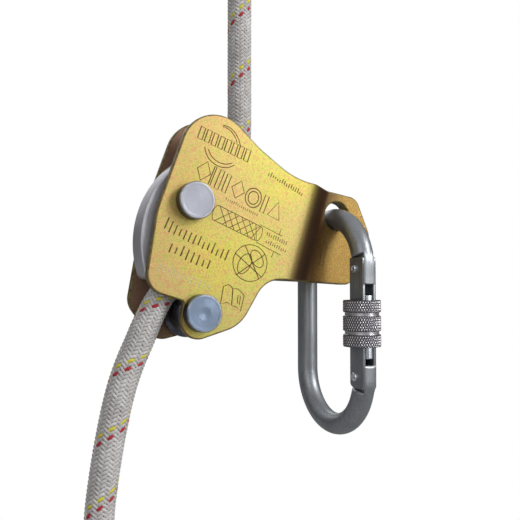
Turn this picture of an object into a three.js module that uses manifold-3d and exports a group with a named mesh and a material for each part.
// Guided rope grab on a kernmantle line, with an oval screw-gate karabiner in its tab.
// Millimetres, +Z up along the plumb rope, +X from the rope towards the tab, +Y to the rear.
// Everything is drawn in device coordinates (rope axis X 0, mid-plane Y 0) and then lowered,
// so that the origin is the bearing point inside the anchor eye that holds the rope up.
import * as THREE from 'three';
import { mergeVertices } from 'three/addons/utils/BufferGeometryUtils.js';
import Module from 'manifold-3d';

const wasm = await Module();
wasm.setup();

// ---- driving dimensions -------------------------------------------------------------------
const GAP = 0.3; // between parts that touch
const SMALL_GAP = 0.25; // running clearance round axles, bushes and washers
const DEG = Math.PI / 180;

const ROPE_TAUT_R = 5.25; // 10.5 mm line under load above the device
const ROPE_INSIDE_R = 5.4;
const ROPE_SLACK_R = 5.9; // the same line, slack below the device

const SHEET = 3; // side-plate thickness
const PLATE_FACE = 10.5; // outer face of each side plate from the mid-plane
const TAB_INNER = 0.15; // half the gap between the two layers of the tab
const BEND_TILT = 17 * DEG; // the bends lean with the device's own axis
const BEND_START = 22.2; // across the bends, on the plate's outer face
const BEND_END = 33.5;
const BEND_INSIDE_R = 3;

const CAM_AXLE = [-26.3, 24.2]; // X, Z of the upper axle
const ROLLER_AXLE = [-23, -22.6]; // X, Z of the lower axle
const AXLE_R = 4.5;
const HEAD_R = 7.9;
const HEAD_HEIGHT = 5;
const CLINCH_R = 6.8;
const CLINCH_HEIGHT = 2.8;
const BUSH_WALL = 1.2;
const WASHER = 1;

const CAM_HALF = 6; // half the cam's thickness
const CAM_HUB_R = 10.8;
const CAM_RIM = { x: -4, z: 7, r: 43.6 }; // circle of the cam's outer rim
const CAM_OPEN = 18 * DEG;
const SPRING_R = 7.9;
const SPRING_WIRE_R = 0.5;
const SPRING_SEAT = 2; // floor of the spring's recess in the cam
const ROLLER_HALF = 6;

const HOLE = [50.4, 22.2]; // X, Z of the connector hole in the tab
const HOLE_R = 6.7;

const STOCK_R = 5; // karabiner bar
const LINK_W = 48.6; // oval, centre to centre of the bar
const LINK_TOP = HOLE[1] - HOLE_R + GAP + STOCK_R;
const LINK_H = 97.6;
const LINK_BOTTOM = LINK_TOP - LINK_H;
const BEND_R = LINK_W / 2;
const GATE_Y = -BEND_R; // axis of the gate side

const NOSE_END = -10.4;
const NOSE_SHOULDER = 2.5;
const LUG_TOP = -46.4;
const LUG_SHOULDER = -58;
const TONGUE_HALF = 1.9; // milled flats that the channel straddles
const CHANNEL_WALL = 1.3;
const CHANNEL_HALF = 3.5;
const CHANNEL_FRONT = -4.4; // from the gate axis, outwards
const CHANNEL_BACK = 7.2; // and inwards
const CHANNEL_TOP = 1.6;
const CHANNEL_FOOT = -57.2;
const BACK_WALL_FOOT = -49.5;
const BAR_TOP = -15.3;
const BAR_FOOT = -43.8;
const PIN_INSET = 2; // both pins, inwards of the gate axis
const LATCH_PIN = { z: -3.5, r: 1.35 };
const HINGE_PIN = { z: -52.1, r: 1.6 };
const PIN_PROUD = 0.6;

const SLEEVE_SHIFT = 1.3; // sleeve axis, inwards of the gate axis
const SLEEVE_R = 8.6;
const SLEEVE_GROOVE_R = 7.7;
const SLEEVE_BORE_R = 7.05;
const SLEEVE_TOP = -17.6;
const BAND = 5.4;
const MIDDLE_BAND = 6.6;
const GROOVE = 1.75;

const UPPER_ROPE_TOP = 124;
const EYE_SLEEVE_TOP = 160;
const LEG_X = 5.6; // the two legs of the eye where they leave the sleeve
const EYE_CENTRE = 192;
const EYE_R = 17; // rope axis round the thimble
const THIMBLE_BORE_R = 9.8;
const EYE_BEARING = EYE_CENTRE + THIMBLE_BORE_R;
const TAIL_TOP = -112; // where the slack rope enters its sewn stop
const TAIL_LENGTH = 32;

// ---- materials ----------------------------------------------------------------------------
const finish = (color, roughness, metalness) =>
  new THREE.MeshStandardMaterial({ color, roughness, metalness });
const gold = finish(0xcdb45c, 0.38, 0.85);
const zinc = finish(0x9fa3a3, 0.35, 0.9);
const polished = finish(0xb9c4cf, 0.22, 0.95);
const castSteel = finish(0xb0b0ac, 0.45, 0.8);
const darkSteel = finish(0x2d2f33, 0.25, 0.9);
const bronze = finish(0x8a6a35, 0.4, 0.9);
const springSteel = finish(0x55585c, 0.35, 0.9);
const ropeWhite = finish(0xe6e3dc, 0.9, 0);
const shrinkSleeve = finish(0x1c1c1e, 0.5, 0);
const thimblePlastic = finish(0x2a2b2d, 0.45, 0);

// ---- making closed solids -----------------------------------------------------------------
function signedVolume(geometry) {
  const p = geometry.attributes.position;
  const index = geometry.index;
  const [a, b, c] = [new THREE.Vector3(), new THREE.Vector3(), new THREE.Vector3()];
  let sum = 0;
  for (let i = 0; i < index.count; i += 3) {
    a.fromBufferAttribute(p, index.getX(i));
    b.fromBufferAttribute(p, index.getX(i + 1));
    c.fromBufferAttribute(p, index.getX(i + 2));
    sum += a.dot(b.cross(c));
  }
  return sum / 6;
}

// Shared vertices merged, sliver triangles dropped and faces turned outwards.
function closed(geometry) {
  geometry.deleteAttribute('normal');
  geometry.deleteAttribute('uv');
  const merged = mergeVertices(geometry, 1e-4);
  const source = merged.index.array;
  const kept = [];
  for (let i = 0; i < source.length; i += 3) {
    const [a, b, c] = [source[i], source[i + 1], source[i + 2]];
    if (a !== b && b !== c && c !== a) kept.push(a, b, c);
  }
  merged.setIndex(kept);
  if (signedVolume(merged) < 0) {
    for (let i = 0; i < kept.length; i += 3) [kept[i], kept[i + 1]] = [kept[i + 1], kept[i]];
    merged.setIndex(kept);
  }
  return merged;
}

function solid(geometry) {
  const shape = closed(geometry);
  return new wasm.Manifold(new wasm.Mesh({
    numProp: 3,
    vertProperties: new Float32Array(shape.attributes.position.array),
    triVerts: new Uint32Array(shape.index.array),
  }));
}

function geometryOf(manifold) {
  const mesh = manifold.getMesh();
  const geometry = new THREE.BufferGeometry();
  geometry.setAttribute('position', new THREE.BufferAttribute(new Float32Array(mesh.vertProperties), 3));
  geometry.setIndex([...mesh.triVerts]);
  return geometry;
}

const cut = (body, ...tools) => tools.reduce((rest, tool) => rest.subtract(tool), body);

// ---- shapes -------------------------------------------------------------------------------
// A closed outline through corners [a, b, fillet radius].
function outline(corners, segments = 7) {
  const points = [];
  const count = corners.length;
  corners.forEach(([x, y, radius], i) => {
    const corner = new THREE.Vector2(x, y);
    const toPrevious = new THREE.Vector2(...corners[(i + count - 1) % count]).sub(corner).normalize();
    const toNext = new THREE.Vector2(...corners[(i + 1) % count]).sub(corner).normalize();
    if (!radius) {
      points.push(corner);
      return;
    }
    const half = Math.acos(THREE.MathUtils.clamp(toPrevious.dot(toNext), -1, 1)) / 2;
    const bisector = toPrevious.clone().add(toNext).normalize();
    const centre = corner.clone().addScaledVector(bisector, radius / Math.sin(half));
    const start = corner.clone().addScaledVector(toPrevious, radius / Math.tan(half)).sub(centre);
    const turn = Math.sign(toPrevious.cross(toNext)) * (2 * half - Math.PI);
    const steps = Math.max(1, Math.ceil((segments * Math.abs(turn)) / (Math.PI / 2)));
    for (let k = 0; k <= steps; k += 1) {
      points.push(start.clone().rotateAround(new THREE.Vector2(), (turn * k) / steps).add(centre));
    }
  });
  return new THREE.Shape(points);
}

function circle(x, y, radius, segments = 24) {
  const points = [];
  for (let k = 0; k < segments; k += 1) {
    const angle = (2 * Math.PI * k) / segments;
    points.push(new THREE.Vector2(x + radius * Math.cos(angle), y + radius * Math.sin(angle)));
  }
  return new THREE.Shape(points);
}

const raise = (shape, depth) =>
  new THREE.ExtrudeGeometry(shape, { depth, bevelEnabled: false, curveSegments: 12 });

// Outlines drawn in X, Z; in X, Y; and in Y, Z.
const alongY = (shape, low, high) => raise(shape, high - low).rotateX(Math.PI / 2).translate(0, high, 0);
const alongZ = (shape, low, high) => raise(shape, high - low).translate(0, 0, low);
const alongX = (shape, low, high) =>
  raise(shape, high - low).rotateX(Math.PI / 2).rotateZ(Math.PI / 2).translate(low, 0, 0);

const box = ([x0, y0, z0], [x1, y1, z1]) =>
  new THREE.BoxGeometry(x1 - x0, y1 - y0, z1 - z0).translate((x0 + x1) / 2, (y0 + y1) / 2, (z0 + z1) / 2);

// Profiles of [radius, distance along the axis]; an open one starts and ends on the axis.
function turned(profile, segments = 24) {
  return new THREE.LatheGeometry(profile.map(([r, t]) => new THREE.Vector2(r, t)), segments);
}
const turnedOnY = (profile, [x, z], segments) => turned(profile, segments).translate(x, 0, z);
const turnedOnX = (profile, y, z, x, segments) =>
  turned(profile, segments).rotateZ(-Math.PI / 2).translate(x, y, z);
const turnedOnZ = (profile, x, y, segments) => turned(profile, segments).rotateX(Math.PI / 2).translate(x, y, 0);

const ring = (inner, outer, low, high) => [
  [inner, low], [outer, low], [outer, high], [inner, high], [inner, low],
];

function tube(curve, radius, sides, steps) {
  return new THREE.ExtrudeGeometry(circle(0, 0, radius, sides), { steps, extrudePath: curve, bevelEnabled: false });
}

// ---- assembly helper ----------------------------------------------------------------------
const device = new THREE.Group();
device.position.z = -EYE_BEARING;

function add(name, source, material) {
  const geometry = source.isBufferGeometry ? closed(source) : geometryOf(source);
  geometry.computeVertexNormals();
  const mesh = new THREE.Mesh(geometry, material);
  mesh.name = name;
  device.add(mesh);
}

// ---- side plates --------------------------------------------------------------------------
const TAB_AND_TOP = [
  [57.8, -10.9, 5], [70.2, 12.4, 8], [61.8, 31.4, 6.5], [36, 35.4, 40], [23.8, 36.8, 39.5], [5.4, 49.4, 25],
  [-22.5, 73.7, 16.3], [-42.1, 20.2, 40],
];
const LOWER_EDGE = [[-4.2, -28.4, 16.9], [8.3, -8.1, 13]];
const FRONT_OUTLINE = [
  ...TAB_AND_TOP, [-47.2, -12.4, 8.6], [-30.4, -17.6, 1], [-33.5, -36.9, 8], ...LOWER_EDGE,
];
const REAR_OUTLINE = [...TAB_AND_TOP, [-49, -18.8, 9], [-37, -35.4, 9], ...LOWER_EDGE];

// The sheet's section across the bends: flat, joggled in to the mid-plane, flat again.
function joggledSheet(side) {
  const rise = PLATE_FACE - SHEET - TAB_INNER;
  const slope = Math.atan2(rise, BEND_END - BEND_START);
  const setback = SHEET * Math.tan(slope / 2);
  const outsideR = BEND_INSIDE_R + SHEET;
  const tabFace = TAB_INNER + SHEET;
  const section = outline([
    [-80, -side * PLATE_FACE, 0], [BEND_START, -side * PLATE_FACE, outsideR],
    [BEND_END, -side * tabFace, BEND_INSIDE_R], [90, -side * tabFace, 0],
    [90, -side * TAB_INNER, 0], [BEND_END - setback, -side * TAB_INNER, outsideR],
    [BEND_START - setback, -side * (PLATE_FACE - SHEET), BEND_INSIDE_R], [-80, -side * (PLATE_FACE - SHEET), 0],
  ]);
  return solid(alongZ(section, -120, 120).rotateY(BEND_TILT));
}

function sidePlate(side, corners) {
  const reach = PLATE_FACE + 2;
  const holes = [
    circle(...CAM_AXLE, AXLE_R + SMALL_GAP), circle(...ROLLER_AXLE, AXLE_R + SMALL_GAP),
    circle(...HOLE, HOLE_R, 28),
  ].map((hole) => solid(alongY(hole, -reach, reach)));
  return cut(joggledSheet(side).intersect(solid(alongY(outline(corners), -reach, reach))), ...holes);
}

// Blind groove on the rear plate's inner face, in which the spring's tail travels with the cam.
function springGroove() {
  const half = SPRING_WIRE_R + SMALL_GAP;
  const shape = new THREE.Shape();
  const [from, to] = [-16 * DEG, CAM_OPEN + 6 * DEG];
  shape.absarc(0, 0, SPRING_R + half, Math.PI - from, Math.PI - to, true);
  shape.absarc(0, 0, SPRING_R - half, Math.PI - to, Math.PI - from, false);
  const groove = raise(shape, 3).rotateX(Math.PI / 2);
  return solid(groove.translate(CAM_AXLE[0], PLATE_FACE - SHEET + 1.8, CAM_AXLE[1]));
}

add('front_plate', sidePlate(1, FRONT_OUTLINE), gold);
add('rear_plate', sidePlate(-1, REAR_OUTLINE).subtract(springGroove()), gold);

// ---- axles, bushes and washers ------------------------------------------------------------
function headedAxle(centre) {
  const front = -PLATE_FACE - SMALL_GAP;
  const rear = PLATE_FACE + SMALL_GAP;
  return turnedOnY([
    [0, front - HEAD_HEIGHT], [HEAD_R - 0.7, front - HEAD_HEIGHT], [HEAD_R, front - HEAD_HEIGHT + 0.7],
    [HEAD_R, front], [AXLE_R, front], [AXLE_R, rear], [CLINCH_R, rear],
    [CLINCH_R - 0.8, rear + CLINCH_HEIGHT * 0.7], [CLINCH_R - 2.6, rear + CLINCH_HEIGHT], [0, rear + CLINCH_HEIGHT],
  ], centre, 28);
}

const BUSH_OUTER = AXLE_R + SMALL_GAP + BUSH_WALL;
const INNER_FACE = PLATE_FACE - SHEET;
add('upper_axle', headedAxle(CAM_AXLE), polished);
add('lower_axle', headedAxle(ROLLER_AXLE), polished);
for (const [name, centre] of [['cam', CAM_AXLE], ['roller', ROLLER_AXLE]]) {
  const bush = ring(AXLE_R + SMALL_GAP, BUSH_OUTER, -CAM_HALF, CAM_HALF);
  add(`${name}_bush`, turnedOnY(bush, centre), bronze);
  const rearWasher = ring(AXLE_R + SMALL_GAP, BUSH_OUTER + 0.6, CAM_HALF + SMALL_GAP, CAM_HALF + SMALL_GAP + WASHER);
  const frontWasher = ring(AXLE_R + SMALL_GAP, BUSH_OUTER + 0.6, -CAM_HALF - SMALL_GAP - WASHER, -CAM_HALF - SMALL_GAP);
  add(`${name}_washer_rear`, turnedOnY(rearWasher, centre), zinc);
  add(`${name}_washer_front`, turnedOnY(frontWasher, centre), zinc);
}

// ---- cam and its spring -------------------------------------------------------------------
function camOutline() {
  const shape = new THREE.Shape();
  shape.absarc(CAM_RIM.x, CAM_RIM.z, CAM_RIM.r, 121 * DEG, 196 * DEG, false);
  shape.quadraticCurveTo(-45.6, -8.2, -42.4, -8.6);
  shape.lineTo(-40.2, -8.6);
  shape.quadraticCurveTo(-38.6, -8.6, -37.4, -6.9);
  shape.quadraticCurveTo(-29, 4.2, CAM_AXLE[0] + CAM_HUB_R * Math.cos(50 * DEG), CAM_AXLE[1] - CAM_HUB_R * Math.sin(50 * DEG));
  shape.absarc(...CAM_AXLE, CAM_HUB_R, -50 * DEG, 60 * DEG, false);
  shape.quadraticCurveTo(-22, 43.5, -26.45, 44.37);
  return shape;
}

const camBore = ring(0, BUSH_OUTER + SMALL_GAP, -CAM_HALF - 1, CAM_HALF + 1).slice(0, 4);
const camRecess = ring(0, SPRING_R + SPRING_WIRE_R + 0.7, SPRING_SEAT, CAM_HALF + 1).slice(0, 4);
add('cam', cut(
  solid(alongY(camOutline(), -CAM_HALF, CAM_HALF)),
  solid(turnedOnY(camBore, CAM_AXLE)), solid(turnedOnY(camRecess, CAM_AXLE)),
), castSteel);

// Two turns and a half round the hub, then a tail bent rearwards into the plate's groove.
function camSpringPath() {
  const points = [];
  const turns = 2.5;
  const low = SPRING_SEAT + GAP + SPRING_WIRE_R;
  const high = CAM_HALF - SPRING_WIRE_R;
  const steps = turns * 16;
  for (let k = 0; k <= steps; k += 1) {
    const angle = Math.PI + (k / steps - 1) * turns * 2 * Math.PI;
    points.push(new THREE.Vector3(
      CAM_AXLE[0] + SPRING_R * Math.cos(angle), low + ((high - low) * k) / steps,
      CAM_AXLE[1] + SPRING_R * Math.sin(angle),
    ));
  }
  const end = points.at(-1);
  points.push(end.clone().add(new THREE.Vector3(0, 0.7, -0.9)));
  points.push(end.clone().add(new THREE.Vector3(0, 2.9, -1.2)));
  return new THREE.CatmullRomCurve3(points, false, 'centripetal');
}
add('cam_spring', tube(camSpringPath(), SPRING_WIRE_R, 6, 60), springSteel);

// ---- rope roller --------------------------------------------------------------------------
const ROLLER_BORE = BUSH_OUTER + SMALL_GAP;
add('rope_roller', turnedOnY([
  [ROLLER_BORE, -ROLLER_HALF], [7.6, -ROLLER_HALF], [8.1, -5.3], [8.6, -4.2], [8.9, -1.5], [9.1, 1.5], [9.7, 3.4],
  [11.1, 4.3], [11.1, ROLLER_HALF], [ROLLER_BORE, ROLLER_HALF], [ROLLER_BORE, -ROLLER_HALF],
], ROLLER_AXLE, 28), darkSteel);

// ---- karabiner body -----------------------------------------------------------------------
function linkPath() {
  const path = new THREE.CurvePath();
  const x = HOLE[0];
  const topCentre = LINK_TOP - BEND_R;
  const bottomCentre = LINK_BOTTOM + BEND_R;
  const points = [];
  const arc = (centreZ, from, to, steps) => {
    for (let k = 0; k <= steps; k += 1) {
      const angle = from + ((to - from) * k) / steps;
      points.push(new THREE.Vector3(x, BEND_R * Math.cos(angle), centreZ + BEND_R * Math.sin(angle)));
    }
  };
  points.push(new THREE.Vector3(x, GATE_Y, NOSE_END));
  arc(topCentre, Math.PI, 0, 18);
  arc(bottomCentre, 0, -Math.PI, 18);
  points.push(new THREE.Vector3(x, GATE_Y, LUG_TOP));
  for (let i = 1; i < points.length; i += 1) path.add(new THREE.LineCurve3(points[i - 1], points[i]));
  return { path, points };
}

// The bar swept round the oval: one ring of the round section square to each point of the path.
function linkBar(sides = 16) {
  const { points } = linkPath();
  const position = [];
  const index = [];
  const last = points.length - 1;
  points.forEach((point, i) => {
    const before = points[Math.max(i - 1, 0)];
    const after = points[Math.min(i + 1, last)];
    const along = after.clone().sub(before).normalize();
    const across = new THREE.Vector3(1, 0, 0).cross(along);
    for (let k = 0; k < sides; k += 1) {
      const angle = (2 * Math.PI * k) / sides;
      const spot = point.clone().addScaledVector(across, STOCK_R * Math.sin(angle));
      position.push(spot.x + STOCK_R * Math.cos(angle), spot.y, spot.z);
    }
  });
  for (let i = 0; i < last; i += 1) {
    for (let k = 0; k < sides; k += 1) {
      const [a, b] = [i * sides + k, i * sides + ((k + 1) % sides)];
      index.push(a, b, b + sides, a, b + sides, a + sides);
    }
  }
  for (let k = 1; k < sides - 1; k += 1) {
    index.push(0, k + 1, k, last * sides, last * sides + k, last * sides + k + 1);
  }
  const geometry = new THREE.BufferGeometry();
  geometry.setAttribute('position', new THREE.Float32BufferAttribute(position, 3));
  geometry.setIndex(index);
  return geometry;
}

// Flats on both sides of a stretch of the gate side, and the inner side trimmed for the channel.
function tongueCuts(low, high) {
  const x = HOLE[0];
  const reach = STOCK_R + 3;
  return [
    box([x + TONGUE_HALF, GATE_Y - reach, low], [x + reach, GATE_Y + reach, high]),
    box([x - reach, GATE_Y - reach, low], [x - TONGUE_HALF, GATE_Y + reach, high]),
    box([x - reach, GATE_Y + STOCK_R - 0.1, low], [x + reach, GATE_Y + reach, high]),
  ].map(solid);
}

const pinHole = ({ z, r }, extra, sides = 20) =>
  solid(alongX(circle(GATE_Y + PIN_INSET, z, r + extra, sides), HOLE[0] - 9, HOLE[0] + 9));
const latchNotch = solid(box(
  [HOLE[0] - 9, GATE_Y + PIN_INSET, LATCH_PIN.z - LATCH_PIN.r - 0.35],
  [HOLE[0] + 9, GATE_Y + STOCK_R + 4, LATCH_PIN.z + LATCH_PIN.r + 0.35],
));
const lugSlope = solid(alongX(new THREE.Shape([
  new THREE.Vector2(GATE_Y - 1, LUG_TOP + 1), new THREE.Vector2(GATE_Y - 1, LUG_TOP - 0.05),
  new THREE.Vector2(GATE_Y - STOCK_R - 2, LUG_TOP - 3.4), new THREE.Vector2(GATE_Y - STOCK_R - 2, LUG_TOP + 1),
]), HOLE[0] - 9, HOLE[0] + 9));
add('karabiner_body', cut(
  solid(linkBar()), ...tongueCuts(NOSE_END - 2, NOSE_SHOULDER), ...tongueCuts(LUG_SHOULDER, LUG_TOP + 2),
  pinHole(HINGE_PIN, SMALL_GAP), pinHole(LATCH_PIN, 0.35), latchNotch, lugSlope,
), zinc);

// ---- gate ---------------------------------------------------------------------------------
function gateChannel() {
  const [x, inner] = [HOLE[0], CHANNEL_HALF - CHANNEL_WALL];
  const [front, back] = [GATE_Y + CHANNEL_FRONT, GATE_Y + CHANNEL_BACK];
  const section = outline([
    [x - CHANNEL_HALF, front, 0], [x - inner, front, 0], [x - inner, back - CHANNEL_WALL, 1],
    [x + inner, back - CHANNEL_WALL, 1], [x + inner, front, 0], [x + CHANNEL_HALF, front, 0],
    [x + CHANNEL_HALF, back, 2.2], [x - CHANNEL_HALF, back, 2.2],
  ], 4);
  const foot = HINGE_PIN.z - (back - GATE_Y - PIN_INSET);
  const side = outline([
    [front, CHANNEL_FOOT, 1], [back, foot, 5.1], [back, CHANNEL_TOP, 2.5], [front, CHANNEL_TOP, 0.8],
  ], 5);
  const backWall = box([x - inner, back - CHANNEL_WALL - 0.6, CHANNEL_FOOT - 2], [x + inner, back + 1, BACK_WALL_FOOT]);
  return cut(
    solid(alongZ(section, CHANNEL_FOOT, CHANNEL_TOP)).intersect(solid(alongX(side, x - 9, x + 9))),
    solid(backWall), pinHole(HINGE_PIN, SMALL_GAP), pinHole(LATCH_PIN, SMALL_GAP),
  );
}
add('gate_channel', gateChannel(), zinc);

// The polished bar that fills the channel's open side and guides the sleeve.
const SPRING_BORE = { r: 1.35, y: GATE_Y + 1, top: -30 };
function gateBar() {
  const half = CHANNEL_HALF - CHANNEL_WALL - GAP;
  const section = outline([
    [HOLE[0] - half, GATE_Y - 4.95, 1.3], [HOLE[0] + half, GATE_Y - 4.95, 1.3],
    [HOLE[0] + half, GATE_Y + 5.3, 0.6], [HOLE[0] - half, GATE_Y + 5.3, 0.6],
  ], 4);
  const bore = circle(HOLE[0], SPRING_BORE.y, SPRING_BORE.r, 12);
  return cut(solid(alongZ(section, BAR_FOOT, BAR_TOP)), solid(alongZ(bore, BAR_FOOT - 1, SPRING_BORE.top)));
}
add('gate_bar', gateBar(), polished);

add('gate_plunger', turnedOnZ([[0, -46], [0.7, -46], [1.05, -45.6], [1.05, -40], [0, -40]], HOLE[0], SPRING_BORE.y, 12), springSteel);

function helix(radius, low, high, turns, perTurn) {
  const points = [];
  for (let k = 0; k <= turns * perTurn; k += 1) {
    const angle = (2 * Math.PI * k) / perTurn;
    const z = low + ((high - low) * k) / (turns * perTurn);
    points.push(new THREE.Vector3(HOLE[0] + radius * Math.cos(angle), SPRING_BORE.y + radius * Math.sin(angle), z));
  }
  return new THREE.CatmullRomCurve3(points);
}
add('gate_spring', tube(helix(0.8, -39.4, -30.6, 6, 10), 0.22, 5, 60), springSteel);

for (const [name, pin] of [['gate_hinge_pin', HINGE_PIN], ['gate_latch_pin', LATCH_PIN]]) {
  const half = CHANNEL_HALF + PIN_PROUD;
  add(name, turnedOnX([
    [0, -half], [pin.r * 0.6, -half], [pin.r, -half + 0.5], [pin.r, half - 0.5], [pin.r * 0.6, half], [0, half],
  ], GATE_Y + PIN_INSET, pin.z, HOLE[0], 16), zinc);
}

// ---- screw sleeve -------------------------------------------------------------------------
function sleeveProfile() {
  const edge = 0.6;
  const profile = [[SLEEVE_BORE_R, SLEEVE_TOP]];
  let z = SLEEVE_TOP;
  for (const height of [BAND, MIDDLE_BAND, BAND]) {
    profile.push([SLEEVE_R - edge, z], [SLEEVE_R, z - edge], [SLEEVE_R, z - height + edge], [SLEEVE_R - edge, z - height]);
    z -= height;
    if (profile.length < 12) {
      profile.push([SLEEVE_GROOVE_R, z - 0.3], [SLEEVE_GROOVE_R, z - GROOVE + 0.3]);
      z -= GROOVE;
    }
  }
  const seat = threadSeat();
  profile.push(
    [SLEEVE_BORE_R, z], [SLEEVE_BORE_R, seat.low], [seat.r, seat.low], [seat.r, seat.high], [SLEEVE_BORE_R, seat.high],
    [SLEEVE_BORE_R, SLEEVE_TOP],
  );
  return profile;
}

function threadSeat() {
  const high = SLEEVE_TOP - BAND - GROOVE - 0.6;
  return { r: SLEEVE_R - 0.8, high, low: high - MIDDLE_BAND + 1.2 };
}

const SLEEVE_Y = GATE_Y + SLEEVE_SHIFT;
add('locking_sleeve', turnedOnZ(sleeveProfile(), HOLE[0], SLEEVE_Y, 28), zinc);
const seat = threadSeat();
const threadRing = ring(SLEEVE_BORE_R - 0.1, seat.r - GAP, seat.low + GAP, seat.high - GAP);
add('sleeve_thread_ring', turnedOnZ(threadRing, HOLE[0], SLEEVE_Y, 28), bronze);

// ---- rope ---------------------------------------------------------------------------------
// The whole route of the rope's axis through the device, in X and Z, from the eye to the stop.
const ROUTE = [
  [0, 124], [0, 104], [0, 84], [0, 66], [-0.5, 54], [-2.6, 42], [-5.6, 31], [-9.4, 20.5], [-15.3, 9.5], [-22.6, -0.5],
  [-29.6, -8.6], [-36.9, -16], [-41.9, -24.9], [-46.2, -34.6], [-49.9, -43], [-52.9, -51.4], [-55.2, -60],
  [-57.3, -70], [-59.1, -80], [-60.6, -90], [-61.8, -100], [-62.2, -106], [-62.3, -112],
];
const route = new THREE.CatmullRomCurve3(ROUTE.map(([x, z]) => new THREE.Vector3(x, 0, z)), false, 'centripetal');
const ROPE_ENTRY = 50; // where the taut stretch meets the stretch between the plates
const ROPE_EXIT = -21; // and where the slack stretch begins

// The share of the route's length at which its axis has come down to a height.
function shareAt(height) {
  let [low, high] = [0, 1];
  for (let k = 0; k < 40; k += 1) {
    const middle = (low + high) / 2;
    if (route.getPointAt(middle).z > height) low = middle;
    else high = middle;
  }
  return low;
}

// A stretch of the route as a curve of its own, with the route's own direction at both ends.
class Stretch extends THREE.Curve {
  constructor(from, to) {
    super();
    this.from = from;
    this.to = to;
  }

  getPoint(t, target = new THREE.Vector3()) {
    return target.copy(route.getPointAt(this.from + (this.to - this.from) * t));
  }
}
const ropeStretch = (from, to, radius, steps) => tube(new Stretch(from, to), radius, 12, steps);

const gapShare = GAP / 2 / route.getLength();
const [entry, exit] = [shareAt(ROPE_ENTRY), shareAt(ROPE_EXIT)];
add('rope_upper', ropeStretch(0, entry - gapShare, ROPE_TAUT_R, 6), ropeWhite);
add('rope_inside', ropeStretch(entry + gapShare, exit - gapShare, ROPE_INSIDE_R, 12), ropeWhite);
add('rope_lower', ropeStretch(exit + gapShare, 1, ROPE_SLACK_R, 12), ropeWhite);

// ---- sewn anchor eye ----------------------------------------------------------------------
function ovalSleeve(halfX, halfY, low, high, x) {
  const section = outline([
    [x - halfX, -halfY, halfY * 0.98], [x + halfX, -halfY, halfY * 0.98],
    [x + halfX, halfY, halfY * 0.98], [x - halfX, halfY, halfY * 0.98],
  ], 4);
  return alongZ(section, low, high);
}
add('eye_sleeve', ovalSleeve(11.6, 6.4, UPPER_ROPE_TOP + GAP, EYE_SLEEVE_TOP, 0), shrinkSleeve);

function eyePath() {
  const points = [];
  for (const side of [-1, 1]) {
    const leg = [];
    leg.push(new THREE.Vector3(side * LEG_X, 0, EYE_SLEEVE_TOP + 2 * GAP));
    leg.push(new THREE.Vector3(side * (LEG_X + 0.1), 0, EYE_SLEEVE_TOP + 3.6));
    leg.push(new THREE.Vector3(side * (LEG_X + 4.6), 0, EYE_SLEEVE_TOP + 13.5));
    if (side < 0) points.push(...leg);
    else points.push(...leg.reverse());
    if (side > 0) break;
    for (let k = 0; k <= 10; k += 1) {
      const angle = (205 - 23 * k) * DEG;
      points.push(new THREE.Vector3(EYE_R * Math.cos(angle), 0, EYE_CENTRE + EYE_R * Math.sin(angle)));
    }
  }
  return new THREE.CatmullRomCurve3(points, false, 'centripetal');
}
add('rope_eye', tube(eyePath(), ROPE_TAUT_R, 12, 30), ropeWhite);

// Round thimble: a ring with a hollow rim that the rope lies in.
function thimbleProfile() {
  const seatR = ROPE_TAUT_R + GAP;
  const profile = [[THIMBLE_BORE_R, -6.6], [15.6, -6.6]];
  for (let k = 0; k <= 8; k += 1) {
    const angle = (-76 + 19 * k) * DEG;
    profile.push([EYE_R - seatR * Math.cos(angle), seatR * Math.sin(angle)]);
  }
  profile.push([15.6, 6.6], [THIMBLE_BORE_R, 6.6], [THIMBLE_BORE_R, -6.6]);
  return profile;
}
add('thimble', turnedOnY(thimbleProfile(), [0, EYE_CENTRE], 28), thimblePlastic);

// ---- sewn stop on the rope's lower end ----------------------------------------------------
const [tailX] = ROUTE.at(-1);
add('rope_end_stop', ovalSleeve(11.8, 6.8, TAIL_TOP - 0.6 - TAIL_LENGTH, TAIL_TOP - 0.6, tailX), shrinkSleeve);

export default device;
